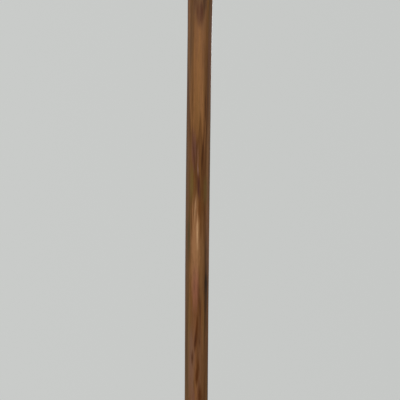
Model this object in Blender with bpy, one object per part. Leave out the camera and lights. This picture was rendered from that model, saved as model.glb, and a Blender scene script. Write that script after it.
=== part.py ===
"""A traditional wooden lacrosse stick, strung with leather, gut and cord.

The stick stands upright on its butt. The origin is the middle of the butt's end face and +Z runs up the
handle to the head. The ball side faces -Y and the pocket hangs towards +Y. Seen from the ball side the
wooden wall of the head is on the left (-X) and the gut wall on the right (+X). Lengths are in metres.
"""
from math import pi, sin

import bmesh
import bpy
from mathutils import Matrix, Vector
from mathutils.geometry import interpolate_bezier

GAP = 0.0003  # air between two pieces that touch

# The wood's centre line in X and Z: straight up the handle, then Bezier spans round the crook
HANDLE_TOP = 0.742
CROOK = (
    (0, HANDLE_TOP), (0, 0.800), (-0.076, 0.880),
    (-0.080, 0.965), (-0.084, 1.035), (-0.052, 1.0617),
    (0, 1.0617), (0.060, 1.0617), (0.096, 1.030),
    (0.096, 0.975), (0.096, 0.955), (0.090, 0.940),
    (0.084, 0.925),
)  # fmt: skip

# Distance along the wood, and there its half width, half depth, and its corner cuts across and deep.
# The butt flares, so that the stick stands on it and doesn't slip through the hand.
WOOD = (
    (0.000, 0.0152, 0.0164, 0.0056, 0.0058),
    (0.012, 0.0132, 0.0149, 0.0050, 0.0052),
    (0.026, 0.0117, 0.0139, 0.0046, 0.0048),
    (0.060, 0.0116, 0.0138, 0.0046, 0.0048),
    (0.300, 0.0118, 0.0140, 0.0047, 0.0048),
    (0.500, 0.0122, 0.0140, 0.0049, 0.0048),
    (0.670, 0.0124, 0.0140, 0.0049, 0.0048),
    (0.730, 0.0129, 0.0142, 0.0050, 0.0048),
    (0.775, 0.0132, 0.0150, 0.0048, 0.0050),
    (0.850, 0.0086, 0.0175, 0.0036, 0.0052),
    (0.980, 0.0056, 0.0190, 0.0026, 0.0052),
    (1.120, 0.0048, 0.0178, 0.0022, 0.0050),
    (1.260, 0.0048, 0.0165, 0.0022, 0.0046),
    (1.330, 0.0042, 0.0140, 0.0020, 0.0040),
)
EASE = 0.0014  # how far each corner of the wood is eased
BUTT_EASE, TIP_EASE = 0.0010, 0.0018  # how far the rims of its two ends are
HANDLE_RINGS = (0.0015, 0.006, 0.012, 0.018, 0.026, 0.06, 0.30, 0.50, 0.67, 0.72)  # distances along the wood
RING_STEP = 0.014  # between the rings above the handle

NET_Y = 0.011  # depth at which the netting meets the walls
POCKET_DEPTH = 0.044
POCKET_FOOT, POCKET_TOP, STRAIGHT_ABOVE = 0.795, 1.048, 0.985

RUNNERS = 4
RUNNER_THICK, RUNNER_WIDE, RUNNER_NARROW = 0.0024, 0.0054, 0.0038
TAIL_PITCH = 0.0050  # between the runners' tails at the back of the throat
RUNNER_FOOT = 0.840  # where the runners join the netting's surface

LACE_R, GUT_R, WEAVE_R, SHOOTER_R = 0.0012, 0.0017, 0.0011, 0.0015
LEFT_TURNS = (0.846, 0.874, 0.904, 0.936, 0.968, 0.996)
RIGHT_TURNS = (0.860, 0.888, 0.912, 0.958, 0.984)
STITCH_HALF, STITCH_FLAT = 0.007, 0.0024  # half the length of a wall stitch, and of its straight middle
STITCH_OUT = 0.0048  # how far it stands in from the wood
SHOOTERS = ((1.010, 1.008), (1.026, 1.024))  # heights of the shooting strings, left and right

GUT_DEPTHS = (-0.013, -0.001, 0.011)
GUT_TIE_DEPTHS = (-0.0085, 0, 0.0085)
WEAVE_FIRST, WEAVE_STEP, WEAVE_ROWS = 0.8075, 0.007, 14

THROAT_BAND, HOOK_BAND = (0.7515, 0.7675), (0.008, 0.020)
GRIP = (0.0345, 0.282)
GRIP_TURNS = 13
BRIDGE_HEIGHT, BRIDGE_R = 0.8395, 0.0042

MATERIALS = {  # colour, roughness, metallic
    "varnished_hickory": ((0.19, 0.085, 0.032), 0.34, 0),
    "runner_leather": ((0.10, 0.045, 0.020), 0.62, 0),
    "rawhide": ((0.56, 0.38, 0.17), 0.42, 0),
    "cotton_lacing": ((0.66, 0.58, 0.42), 0.85, 0),
    "waxed_thread": ((0.06, 0.035, 0.022), 0.60, 0),
    "grip_leather": ((0.075, 0.034, 0.017), 0.58, 0),
}


# ---- the scene, materials and simple pieces

def clear_scene():
    for obj in list(bpy.data.objects):
        bpy.data.objects.remove(obj)


def collection(name):
    group = bpy.data.collections.new(name)
    bpy.context.scene.collection.children.link(group)
    return group


def material(name):
    found = bpy.data.materials.get(name)
    if found:
        return found
    colour, roughness, metallic = MATERIALS[name]
    made = bpy.data.materials.new(name)
    made.use_nodes = True
    shader = made.node_tree.nodes["Principled BSDF"]
    shader.inputs["Base Color"].default_value = (*colour, 1)
    shader.inputs["Roughness"].default_value = roughness
    shader.inputs["Metallic"].default_value = metallic
    return made


def keep(obj, group, slot=None):
    group.objects.link(obj)
    if slot:
        obj.data.materials.append(material(slot))
    return obj


def loft(rings, closed=False):
    """Skin rings of points, each joined to the next. The ends are capped, or the last meets the first."""
    bm = bmesh.new()
    rows = [[bm.verts.new(p) for p in ring] for ring in rings]
    sides = len(rows[0])
    pairs = list(zip(rows, rows[1:] + rows[:1])) if closed else list(zip(rows, rows[1:]))
    for low, high in pairs:
        for i in range(sides):
            j = (i + 1) % sides
            bm.faces.new((low[i], low[j], high[j], high[i]))
    if not closed:
        bm.faces.new(rows[0][::-1])
        bm.faces.new(rows[-1])
    bmesh.ops.recalc_face_normals(bm, faces=bm.faces)
    return bm


def mesh_object(name, bm, group, slot=None):
    mesh = bpy.data.meshes.new(name)
    bm.to_mesh(mesh)
    bm.free()
    mesh.shade_smooth()
    mesh.set_sharp_from_angle(angle=0.6)
    return keep(bpy.data.objects.new(name, mesh), group, slot)


def cord(name, points, radius, group, slot, resolution=1):
    """A round cord along points, with closed ends."""
    curve = bpy.data.curves.new(name, "CURVE")
    curve.dimensions = "3D"
    curve.bevel_depth = radius
    curve.bevel_resolution = resolution
    curve.use_fill_caps = True
    spline = curve.splines.new("POLY")
    spline.points.add(len(points) - 1)
    for knot, point in zip(spline.points, points):
        knot.co = (*point, 1)
    return keep(bpy.data.objects.new(name, curve), group, slot)


def smooth(points, steps):
    """A Catmull-Rom curve through the points, with that many steps between each two."""
    ends = [points[0] * 2 - points[1], *points, points[-1] * 2 - points[-2]]
    out = []
    for a, b, c, d in zip(ends, ends[1:], ends[2:], ends[3:]):
        for k in range(steps):
            t = k / steps
            out.append(
                (b * 2 + (c - a) * t + (a * 2 - b * 5 + c * 4 - d) * t**2 + (b * 3 - a - c * 3 + d) * t**3) / 2
            )
    return [*out, points[-1]]


# ---- the wood's centre line and section

def crook_line(steps=40):
    points = [Vector((0, 0, 0))]
    for k in range(0, len(CROOK) - 1, 3):
        span = [Vector((x, 0, z)) for x, z in CROOK[k : k + 4]]
        points += interpolate_bezier(*span, steps + 1)[0 if k == 0 else 1 :]
    distances = [0.0]
    for a, b in zip(points, points[1:]):
        distances.append(distances[-1] + (b - a).length)
    return points, distances


LINE, DISTANCES = crook_line()
WOOD_LENGTH = DISTANCES[-1]
SCOOP = DISTANCES[max(range(len(LINE)), key=lambda i: LINE[i].z)]


def section_at(distance):
    """Half width, half depth and corner cuts, on smooth curves through WOOD's rows."""
    i = max(k for k in range(len(WOOD) - 1) if k == 0 or WOOD[k][0] <= distance)
    rows = WOOD[max(i - 1, 0)], WOOD[i], WOOD[i + 1], WOOD[min(i + 2, len(WOOD) - 1)]
    step = rows[2][0] - rows[1][0]
    t = (distance - rows[1][0]) / step
    out = []
    for a, b, c, d in zip(*[row[1:] for row in rows]):
        rise = (c - a) / (rows[2][0] - rows[0][0]) * step
        leave = (d - b) / (rows[3][0] - rows[1][0]) * step
        out.append(
            b * (2 * t**3 - 3 * t**2 + 1) + rise * (t**3 - 2 * t**2 + t)
            + c * (3 * t**2 - 2 * t**3) + leave * (t**3 - t**2)
        )  # fmt: skip
    return out


def wood_at(distance):
    """The wood's centre, its direction, and the direction across it that faces into the head."""
    i = min(max(k for k in range(len(LINE) - 1) if k == 0 or DISTANCES[k] <= distance), len(LINE) - 2)
    t = (distance - DISTANCES[i]) / (DISTANCES[i + 1] - DISTANCES[i])
    ahead = min(i + 2, len(LINE) - 1)
    behind = max(i - 1, 0)
    start = (LINE[i + 1] - LINE[behind]).normalized()
    end = (LINE[ahead] - LINE[i]).normalized()
    along = start.lerp(end, t).normalized() if i else Vector((0, 0, 1))
    return LINE[i].lerp(LINE[i + 1], t), along, Vector((along.z, 0, -along.x))


def off_wood(distance, across, depth):
    """A point beside the wood: across from its centre line towards the head's inside, and at a depth."""
    centre, _, inward = wood_at(distance)
    return centre + inward * across + Vector((0, depth, 0))


def inner_face(distance, clearance):
    """How far the wood's inner face is from its centre line, and a clearance more."""
    return section_at(distance)[0] + clearance


def wall_distance(height, right=False):
    """Distance along the wood to that height, on the left wall or on the right one."""
    low, high = (SCOOP, WOOD_LENGTH) if right else (HANDLE_TOP, SCOOP)
    for _ in range(40):
        middle = (low + high) / 2
        if (wood_at(middle)[0].z < height) != right:
            low = middle
        else:
            high = middle
    return low


def scoop_distance(x):
    """Distance along the wood to where its inner face crosses x at the top of the head."""
    low, high = wall_distance(1.0), wall_distance(1.0, right=True)
    for _ in range(40):
        middle = (low + high) / 2
        left_of_x = off_wood(middle, inner_face(middle, 0), 0).x < x
        low, high = (middle, high) if left_of_x else (low, middle)
    return low


def wood_ring(distance, shrink=0.0):
    """The eased octagon of the wood's section."""
    width, depth, cut, cut_deep = section_at(distance)
    width, depth = width - shrink, depth - shrink
    corners = [
        (width, depth - cut_deep), (width - cut, depth), (cut - width, depth), (-width, depth - cut_deep),
        (-width, cut_deep - depth), (cut - width, -depth), (width - cut, -depth), (width, cut_deep - depth),
    ]  # fmt: skip
    flat = [Vector(c) for c in corners]
    out = []
    for before, at, after in zip(flat[-1:] + flat[:-1], flat, flat[1:] + flat[:1]):
        for side in (before, after):
            out.append(at + (side - at).normalized() * EASE * 0.6)
    return [off_wood(distance, a, d) for a, d in out]


# ---- the netting's surface

def stitch_point(distance):
    return off_wood(distance, inner_face(distance, STITCH_OUT), NET_Y)


def gut_point(strand, height):
    """A point of a gut strand: bound to the throat, bowed up the open side, bound to the hook."""
    throat = sum(THROAT_BAND) / 2
    foot = off_wood(throat, inner_face(throat, GAP + GUT_R), GUT_TIE_DEPTHS[strand])
    tip = WOOD_LENGTH - sum(HOOK_BAND) / 2
    head = off_wood(tip, inner_face(tip, GAP + GUT_R), GUT_TIE_DEPTHS[strand])
    t = (height - foot.z) / (head.z - foot.z)
    point = foot.lerp(head, t)
    swell = sin(pi * t)
    point.x += 0.005 * swell
    point.y += (GUT_DEPTHS[strand] - GUT_TIE_DEPTHS[strand]) * (1 - (1 - swell) ** 2)
    return point


def edges(height):
    """The netting's left and right edges at a height."""
    low = min(height, STRAIGHT_ABOVE)
    left = stitch_point(wall_distance(low)).x
    tip = LINE[-1].z + HOOK_BAND[1]
    hook = stitch_point(wall_distance(max(low, tip), right=True)).x
    gut = gut_point(2, min(low, LINE[-1].z)).x
    blend = min(max((low - LINE[-1].z) / HOOK_BAND[1], 0), 1)
    return left, gut + (hook - gut) * blend


def net(fraction, height):
    """A point of the netting's surface: a fraction of the way from the left wall, at a height."""
    left, right = edges(height)
    rise = min(max((height - POCKET_FOOT) / (POCKET_TOP - POCKET_FOOT), 0), 1)
    sag = POCKET_DEPTH * sin(pi * rise**0.8) * max(sin(pi * fraction), 0) ** 0.7
    return Vector((left + (right - left) * fraction, NET_Y + sag, height))


def net_normal(fraction, height):
    """Out of the netting's back."""
    across = net(fraction + 0.01, height) - net(fraction - 0.01, height)
    up = net(fraction, height + 0.002) - net(fraction, height - 0.002)
    return up.cross(across).normalized() * (1 if up.cross(across).y > 0 else -1)


def share(index):
    return (index + 1) / (RUNNERS + 1)


# ---- the pieces

def cutter_bar(centre, direction, side, size, length, cutters, round_sides=0):
    """A bar that cuts a hole: a round one of that radius, or a slot of that size."""
    bm = bmesh.new()
    if round_sides:
        bmesh.ops.create_cone(bm, cap_ends=True, segments=round_sides, radius1=size, radius2=size, depth=length)
    else:
        bmesh.ops.create_cube(bm, size=1)
        bmesh.ops.scale(bm, vec=(size[0], size[1], length), verts=bm.verts)
    third = direction.cross(side)
    turn = Matrix((side, third, direction)).transposed().to_4x4()
    bmesh.ops.transform(bm, matrix=Matrix.Translation(centre) @ turn, verts=bm.verts)
    mesh = bpy.data.meshes.new("cutter")
    bm.to_mesh(mesh)
    bm.free()
    obj = keep(bpy.data.objects.new("cutter", mesh), cutters)
    obj.hide_render = True
    obj.display_type = "WIRE"
    return obj


def stitch_holes():
    """Distances along the wood of the holes that the wall cords are laced through."""
    turns = [wall_distance(z) for z in LEFT_TURNS]
    turns += [wall_distance(z, right=True) for z in RIGHT_TURNS if z > LINE[-1].z + HOOK_BAND[1]]
    return [turn + step for turn in turns for step in (-STITCH_HALF, STITCH_HALF)]


def shooter_holes():
    return [wall_distance(z, right=k == 1) for pair in SHOOTERS for k, z in enumerate(pair)]


def hickory_frame(group, cutters):
    """The bent wood: handle, throat, wooden wall, scoop and hook in one piece, with its holes."""
    count = round((WOOD_LENGTH - HANDLE_TOP) / RING_STEP)
    stops = [*HANDLE_RINGS]
    stops += [HANDLE_TOP + (WOOD_LENGTH - 0.003 - HANDLE_TOP) * k / count for k in range(count + 1)]
    rings = [wood_ring(0, BUTT_EASE), *[wood_ring(d) for d in stops], wood_ring(WOOD_LENGTH, TIP_EASE)]
    frame = mesh_object("hickory_frame", loft(rings), group, "varnished_hickory")
    depth_way = Vector((0, 1, 0))
    for distances, radius, depth in (
        (stitch_holes(), LACE_R + 0.0007, NET_Y),
        (shooter_holes(), SHOOTER_R + 0.0006, NET_Y - 0.001),
    ):
        for d in distances:
            centre, _, inward = wood_at(d)
            spot = centre + depth_way * depth
            cutter_bar(spot, inward, depth_way, radius, 0.032, cutters, round_sides=8)
    for i in range(RUNNERS):
        d = scoop_distance(net(share(i), STRAIGHT_ABOVE).x)
        centre, _, inward = wood_at(d)
        size = (RUNNER_THICK + 0.0012, RUNNER_WIDE + 0.0010)
        cutter_bar(centre + depth_way * NET_Y, inward, depth_way, size, 0.03, cutters)
    for k, cut in enumerate(list(cutters.objects)):
        hole = frame.modifiers.new(f"hole_{k + 1}", "BOOLEAN")
        hole.operation = "DIFFERENCE"
        hole.object = cut
        hole.solver = "EXACT"


def strap(name, points, ways, widths, group):
    """A leather strip of oblong section along points, its flat sides facing the given ways."""
    rings = []
    for i, (point, way, width) in enumerate(zip(points, ways, widths)):
        along = (points[min(i + 1, len(points) - 1)] - points[max(i - 1, 0)]).normalized()
        out = (way - along * way.dot(along)).normalized()
        side = along.cross(out)
        half = RUNNER_THICK / 2
        rings.append([
            point + side * s * width / 2 + out * o * half for s, o in ((1, 1), (-1, 1), (-1, -1), (1, -1))
        ])  # fmt: skip
    return mesh_object(name, loft(rings), group, "runner_leather")


def runner_route(index):
    """From the tail bound to the throat's back, up the pocket, and out through the scoop's slot."""
    fraction = share(index)
    back = Vector((0, 1, 0))
    points, ways = [], []
    for d in (0.7485, 0.758, 0.7685):
        lift = section_at(d)[1] + GAP + RUNNER_THICK / 2
        points.append(off_wood(d, (index - (RUNNERS - 1) / 2) * TAIL_PITCH, lift))
        ways.append(back)
    low, high = points[-1], net(fraction, RUNNER_FOOT)
    for t in (0.25, 0.5, 0.75):
        points.append(low.lerp(high, t) + Vector((0, -0.003 * sin(pi * t), 0)))
        ways.append(back.lerp(net_normal(fraction, RUNNER_FOOT), t))
    slot = scoop_distance(net(fraction, STRAIGHT_ABOVE).x)
    mouth = off_wood(slot, inner_face(slot, 0.001), NET_Y)
    steps = 12
    for k in range(steps):
        height = RUNNER_FOOT + (mouth.z - 0.010 - RUNNER_FOOT) * k / (steps - 1)
        points.append(net(fraction, height))
        ways.append(net_normal(fraction, height))
    points += [mouth, off_wood(slot, -inner_face(slot, 0.0006), NET_Y)]
    ways += [back, back]
    return points, ways


def leather_runners(group):
    for i in range(RUNNERS):
        points, ways = runner_route(i)
        widths = [
            RUNNER_NARROW + (RUNNER_WIDE - RUNNER_NARROW) * min(max((p.z - 0.80) / 0.05, 0), 1) for p in points
        ]
        strap(f"leather_runner_{i + 1}", points, ways, widths, group)
        slot = scoop_distance(net(share(i), STRAIGHT_ABOVE).x)
        bm = bmesh.new()
        bmesh.ops.create_uvsphere(bm, u_segments=8, v_segments=6, radius=1)
        bmesh.ops.scale(bm, vec=(0.0046, 0.0042, 0.0022), verts=bm.verts)
        _, along, inward = wood_at(slot)
        turn = Matrix((along, Vector((0, 1, 0)), inward)).transposed().to_4x4()
        place = off_wood(slot, -inner_face(slot, 0.0006 + GAP + 0.0023), NET_Y)
        bmesh.ops.transform(bm, matrix=Matrix.Translation(place) @ turn, verts=bm.verts)
        bmesh.ops.recalc_face_normals(bm, faces=bm.faces)
        mesh_object(f"runner_knot_{i + 1}", bm, group, "runner_leather")


def wall_cord(name, turns, group):
    """A cord laced out and in through the wall's holes; its inner stitches carry the netting."""
    points = []
    for n, turn in enumerate(turns):
        for step in (-STITCH_HALF, STITCH_HALF):
            d = turn + step
            through = [
                off_wood(d, -inner_face(d, LACE_R + 0.0005), NET_Y),
                off_wood(d, inner_face(d, 0.0018), NET_Y),
            ]
            points += through if step < 0 else through[::-1]
            if step < 0:
                points += [stitch_point(turn - STITCH_FLAT), stitch_point(turn + STITCH_FLAT)]
        if n + 1 < len(turns):
            middle = (turn + turns[n + 1]) / 2
            points.append(off_wood(middle, -inner_face(middle, LACE_R + 0.0006), NET_Y))
    first, last = turns[0] - STITCH_HALF - 0.006, turns[-1] + STITCH_HALF + 0.006
    points.insert(0, off_wood(first, -inner_face(first, LACE_R + 0.0006), NET_Y))
    points.append(off_wood(last, -inner_face(last, LACE_R + 0.0006), NET_Y))
    cord(name, points, LACE_R, group, "cotton_lacing")


def turn_round(centre, pull, radius):
    """Half a turn of cord round an upright one, both its legs leaving along the pull of the netting."""
    side = Vector((-pull.y, pull.x, 0)) * (1 if pull.x > 0 else -1)
    ways = side, (side - pull) * 0.72, -pull, (-side - pull) * 0.72, -side
    return [centre + way * radius for way in ways]


def lace_turn(height, right):
    """Where a lacing row turns back: round a wall stitch, or round the rear gut strand."""
    pull = net(share(RUNNERS - 1 if right else 0), height) - net(1 if right else 0, height)
    pull.normalize()
    if right and height < LINE[-1].z:
        return turn_round(gut_point(2, height), pull, GUT_R + LACE_R + 2 * GAP)
    distance = wall_distance(height, right)
    return turn_round(stitch_point(distance), pull, 2 * LACE_R + 2 * GAP)


def lace_crossings(start, end, sides):
    """A row across the netting, passing each runner on its side: 1 behind it, -1 in front of it."""
    out = []
    for i, side in enumerate(sides):
        fraction = share(i)
        height = start + (end - start) * fraction
        left, right = edges(height)
        reach = 0.0030 / (right - left)
        lift = RUNNER_THICK / 2 + LACE_R + GAP + 0.0002
        for step in (-reach, reach):
            middle = net(fraction, height)
            normal = net_normal(fraction, height)
            across = (net(fraction + step, height) - middle).normalized() * 0.0030
            out.append(middle + across + normal * side * lift)
    return out


def cross_lacing(group):
    """One long cord in rows up the pocket: in front of the middle runners, behind the outer ones."""
    points = lace_turn(LEFT_TURNS[0], right=False)[2:]
    rows = []
    for left, right, above in zip(LEFT_TURNS, RIGHT_TURNS, LEFT_TURNS[1:]):
        rows += [(left, right, True), (right, above, False)]
    sides = (1, -1, -1, 1)
    for start, end, to_right in rows:
        row = lace_crossings(start, end, sides) if to_right else lace_crossings(end, start, sides)[::-1]
        points += row
        points += lace_turn(end, right=to_right)
    cord("cross_lacing", points[:-2], LACE_R, group, "cotton_lacing")


def shooting_strings(group):
    """Two stouter cords across the top of the pocket, through the wood at both ends."""
    for n, (left, right) in enumerate(SHOOTERS):
        ends = []
        for height, on_right in ((left, False), (right, True)):
            d = wall_distance(height, on_right)
            tuck = d + (-0.007 if on_right == (n == 0) else 0.007)
            depth = NET_Y - 0.001
            ends.append([
                off_wood(tuck, -inner_face(tuck, SHOOTER_R + 0.0006), depth),
                off_wood(d, -inner_face(d, SHOOTER_R + 0.0006), depth),
                off_wood(d, inner_face(d, 0.004), depth),
            ])  # fmt: skip
        middle = []
        for i in range(RUNNERS):
            side = 1 if (i + n) % 2 else -1
            height = left + (right - left) * share(i)
            spot, normal = net(share(i), height), net_normal(share(i), height)
            lift = RUNNER_THICK / 2 + SHOOTER_R + GAP + 0.0003
            middle += [spot + Vector((x, 0, 0)) + normal * side * lift for x in (-0.0032, 0.0032)]
        cord(f"shooting_string_{n + 1}", ends[0] + middle + ends[1][::-1], SHOOTER_R, group, "cotton_lacing")


def gut_wall(group):
    """Three gut strands from throat to hook, and a thinner gut woven across them."""
    for s in range(3):
        points = [
            off_wood(d, inner_face(d, GAP + GUT_R), GUT_TIE_DEPTHS[s]) for d in (0.7475, 0.7595, THROAT_BAND[1] + 0.0025)
        ]
        low = points[-1].z
        heights = [low + (LINE[-1].z - low) * k / 16 for k in range(1, 16)]
        points += [gut_point(s, z) for z in heights]
        for back in (HOOK_BAND[0] - 0.003, HOOK_BAND[1], HOOK_BAND[1] + 0.005):
            d = WOOD_LENGTH - back
            points.append(off_wood(d, inner_face(d, GAP + GUT_R), GUT_TIE_DEPTHS[s]))
        cord(f"gut_strand_{s + 1}", points, GUT_R, group, "rawhide")
    lift = GUT_R + WEAVE_R + GAP + 0.0002
    points = []
    for row in range(WEAVE_ROWS):
        height = WEAVE_FIRST + WEAVE_STEP * row
        along = (gut_point(1, height + 0.01) - gut_point(1, height - 0.01)).normalized()
        out = along.cross(Vector((0, -1, 0))).normalized()
        order = (0, 1, 2) if row % 2 == 0 else (2, 1, 0)
        for strand in order:
            side = (1 if strand % 2 == 0 else -1) * (1 if row % 2 == 0 else -1)
            points.append(gut_point(strand, height) + out * side * lift)
        if row + 1 < WEAVE_ROWS:
            beyond = Vector((0, lift if order[-1] == 2 else -lift, 0))
            past = out * side * lift
            for climb, swing in ((0.25, past * 0.75 + beyond * 0.75), (0.5, beyond), (0.75, (beyond - past) * 0.75)):
                points.append(gut_point(order[-1], height + WEAVE_STEP * climb) + swing)
    cord("gut_weave", points, WEAVE_R, group, "rawhide")


def winding(name, start, end, room, thickness, turns, group, slot):
    """A strip or cord wound round the wood: room gives its inner sides at a distance along the wood."""
    def ring(distance, swell):
        low, high, front, back, cut = room(distance)
        low, high, front, back = low - swell, high + swell, front - swell, back + swell
        cut += swell * 0.59
        outline = (
            (high, back - cut), (high - cut, back), (low + cut, back), (low, back - cut),
            (low, front + cut), (low + cut, front), (high - cut, front), (high, front + cut),
        )  # fmt: skip
        return [off_wood(distance, across, depth) for across, depth in outline]

    step = (end - start) / turns
    rings = [ring(end, 0), ring(start, 0), ring(start, thickness * 0.55)]
    for k in range(turns):
        rings.append(ring(start + step * (k + 0.25), thickness))
        rings.append(ring(start + step * (k + 0.75), thickness))
        rings.append(ring(start + step * (k + 1), thickness * 0.55))
    mesh_object(name, loft(rings, closed=True), group, slot)


def wood_room(distance, slack=GAP):
    """Just round the bare wood."""
    width, depth, cut, _ = section_at(distance)
    return -width - slack, width + slack, -depth - slack, depth + slack, cut


def throat_room(distance):
    """Round the wood, the runners' tails at its back and the gut strands on its inner side."""
    low, high, front, back, _ = wood_room(distance, GAP + 0.0002)
    return low, high + 2 * GUT_R + GAP, front, back + RUNNER_THICK + GAP, 0.0035


def hook_room(distance):
    """Round the hook and the gut strands on its inner side."""
    low, high, front, back, cut = wood_room(distance, GAP + 0.0002)
    return low, high + 2 * GUT_R + GAP, front, back, 0.0019


def windings(group):
    hook = WOOD_LENGTH - HOOK_BAND[1], WOOD_LENGTH - HOOK_BAND[0]
    winding("throat_binding", *THROAT_BAND, throat_room, 0.0020, 8, group, "waxed_thread")
    winding("hook_binding", *hook, hook_room, 0.0018, 6, group, "waxed_thread")
    winding("grip_wrap", *GRIP, wood_room, 0.0018, GRIP_TURNS, group, "grip_leather")
    for name, start in (("grip_lower_whipping", GRIP[0] - 0.0083), ("grip_upper_whipping", GRIP[1] + GAP)):
        winding(name, start, start + 0.008, wood_room, 0.0020, 5, group, "waxed_thread")


def bridge(group):
    """The wrapped bar across the throat that stops the ball."""
    wall = wall_distance(BRIDGE_HEIGHT)
    start = off_wood(wall, inner_face(wall, GAP + 0.0028), -0.001)
    end = gut_point(1, BRIDGE_HEIGHT) - Vector((GUT_R + 2 * WEAVE_R + 2 * GAP + 0.0026, 0, 0))
    bow = Vector((0, -0.003, 0))
    points = [start, start.lerp(end, 0.3) + bow, start.lerp(end, 0.7) + bow, end]
    cord("bridge", smooth(points, 3), BRIDGE_R, group, "rawhide", resolution=2)


def build():
    clear_scene()
    stick = collection("lacrosse_stick")
    cutters = collection("cutters")
    hickory_frame(stick, cutters)
    leather_runners(stick)
    left = [wall_distance(z) for z in LEFT_TURNS]
    hook = [wall_distance(z, right=True) for z in RIGHT_TURNS if z > LINE[-1].z + HOOK_BAND[1]]
    wall_cord("wooden_wall_cord", left, stick)
    wall_cord("hook_wall_cord", hook[::-1], stick)
    cross_lacing(stick)
    shooting_strings(stick)
    gut_wall(stick)
    windings(stick)
    bridge(stick)


build()
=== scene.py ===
"""The looks of the wooden lacrosse stick: fine wood, twisted cords, leather, lights and the camera.

Lengths are in metres, in the CAD model's frame: the butt's centre is the origin, +Z runs up the handle,
-Y is the ball side, the wooden wall is on the left (-X) and the gut wall on the right (+X).
"""

from math import pi, radians, sin, tau

import bmesh
import bpy
import numpy as np
from mathutils import Matrix, Vector, noise
from mathutils.geometry import interpolate_bezier


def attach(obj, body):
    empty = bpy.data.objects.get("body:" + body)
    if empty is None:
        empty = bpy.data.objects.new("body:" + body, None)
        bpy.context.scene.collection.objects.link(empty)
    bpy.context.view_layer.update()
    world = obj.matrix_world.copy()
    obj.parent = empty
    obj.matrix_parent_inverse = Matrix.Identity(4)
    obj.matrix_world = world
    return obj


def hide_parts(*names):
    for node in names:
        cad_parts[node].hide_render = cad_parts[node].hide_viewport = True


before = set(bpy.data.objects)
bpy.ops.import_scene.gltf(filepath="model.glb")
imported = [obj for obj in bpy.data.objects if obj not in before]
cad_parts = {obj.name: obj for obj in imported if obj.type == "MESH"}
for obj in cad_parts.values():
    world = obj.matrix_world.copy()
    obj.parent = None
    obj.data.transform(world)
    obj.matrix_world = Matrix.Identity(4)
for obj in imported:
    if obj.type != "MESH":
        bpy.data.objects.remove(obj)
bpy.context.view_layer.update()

# ---- sizes shared with the CAD model

HANDLE_TOP = 0.742
CROOK = (
    (0, HANDLE_TOP), (0, 0.800), (-0.076, 0.880),
    (-0.080, 0.965), (-0.084, 1.035), (-0.052, 1.0617),
    (0, 1.0617), (0.060, 1.0617), (0.096, 1.030),
    (0.096, 0.975), (0.096, 0.955), (0.090, 0.940),
    (0.084, 0.925),
)
WOOD = (  # distance along the wood, half width, half depth, corner cuts across and deep
    (0.000, 0.0152, 0.0164, 0.0056, 0.0058),
    (0.012, 0.0132, 0.0149, 0.0050, 0.0052),
    (0.026, 0.0117, 0.0139, 0.0046, 0.0048),
    (0.060, 0.0116, 0.0138, 0.0046, 0.0048),
    (0.300, 0.0118, 0.0140, 0.0047, 0.0048),
    (0.500, 0.0122, 0.0140, 0.0049, 0.0048),
    (0.670, 0.0124, 0.0140, 0.0049, 0.0048),
    (0.730, 0.0129, 0.0142, 0.0050, 0.0048),
    (0.775, 0.0132, 0.0150, 0.0048, 0.0050),
    (0.850, 0.0086, 0.0175, 0.0036, 0.0052),
    (0.980, 0.0056, 0.0190, 0.0026, 0.0052),
    (1.120, 0.0048, 0.0178, 0.0022, 0.0050),
    (1.260, 0.0048, 0.0165, 0.0022, 0.0046),
    (1.330, 0.0042, 0.0140, 0.0020, 0.0040),
)
NET_Y, POCKET_DEPTH = 0.011, 0.044
POCKET_FOOT, POCKET_TOP, STRAIGHT_ABOVE = 0.795, 1.048, 0.985
RUNNERS = 4
RUNNER_THICK, RUNNER_WIDE, RUNNER_NARROW = 0.0024, 0.0054, 0.0038
TAIL_PITCH, RUNNER_FOOT = 0.0050, 0.840
LACE_R, GUT_R, WEAVE_R, SHOOTER_R = 0.0012, 0.0017, 0.0011, 0.0015
LEFT_TURNS = (0.846, 0.874, 0.904, 0.936, 0.968, 0.996)
RIGHT_TURNS = (0.860, 0.888, 0.912, 0.958, 0.984)
STITCH_HALF, STITCH_FLAT, STITCH_OUT = 0.007, 0.0024, 0.0048
SHOOTERS, SHOOTER_Y = ((1.010, 1.008), (1.026, 1.024)), NET_Y - 0.001
GUT_DEPTHS = (-0.013, -0.001, 0.011)
GUT_TIE_DEPTHS, GUT_SWELL = (-0.0085, 0, 0.0085), 0.005
WEAVE_FIRST, WEAVE_STEP, WEAVE_ROWS = 0.8075, 0.007, 14
THROAT_BAND, HOOK_BAND = (0.7515, 0.7675), (0.008, 0.020)
GRIP, GRIP_TURNS = (0.0345, 0.282), 13
BRIDGE_HEIGHT, BRIDGE_R, BRIDGE_BOW = 0.8395, 0.0042, 0.003
GAP = 0.0003

# ---- camera: level with the bare handle, which fills the height of the picture

VIEW_MIDDLE, VIEW_HEIGHT = 0.515, 0.412
VIEW_ASIDE, VIEW_LEAN = 0.0017, radians(-0.59)  # how far right the camera stands, and how much it leans
LENS, SENSOR = 72, 36


def add_object(name, data):
    obj = bpy.data.objects.new(name, data)
    bpy.context.scene.collection.objects.link(obj)
    return obj


def camera():
    data = bpy.data.cameras.new("camera")
    data.lens, data.sensor_width = LENS, SENSOR
    data.clip_start = 0.01
    obj = add_object("camera", data)
    distance = VIEW_HEIGHT * LENS / SENSOR
    obj.location = (VIEW_ASIDE, -distance, VIEW_MIDDLE)
    obj.rotation_euler = (radians(90), VIEW_LEAN, 0)
    bpy.context.scene.camera = obj


# ---- the wood's line and the netting's surface, as in the CAD model

CURVE_STEPS, HALVINGS = 240, 40  # points on each of the crook's curves; halvings when a place is sought


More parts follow.
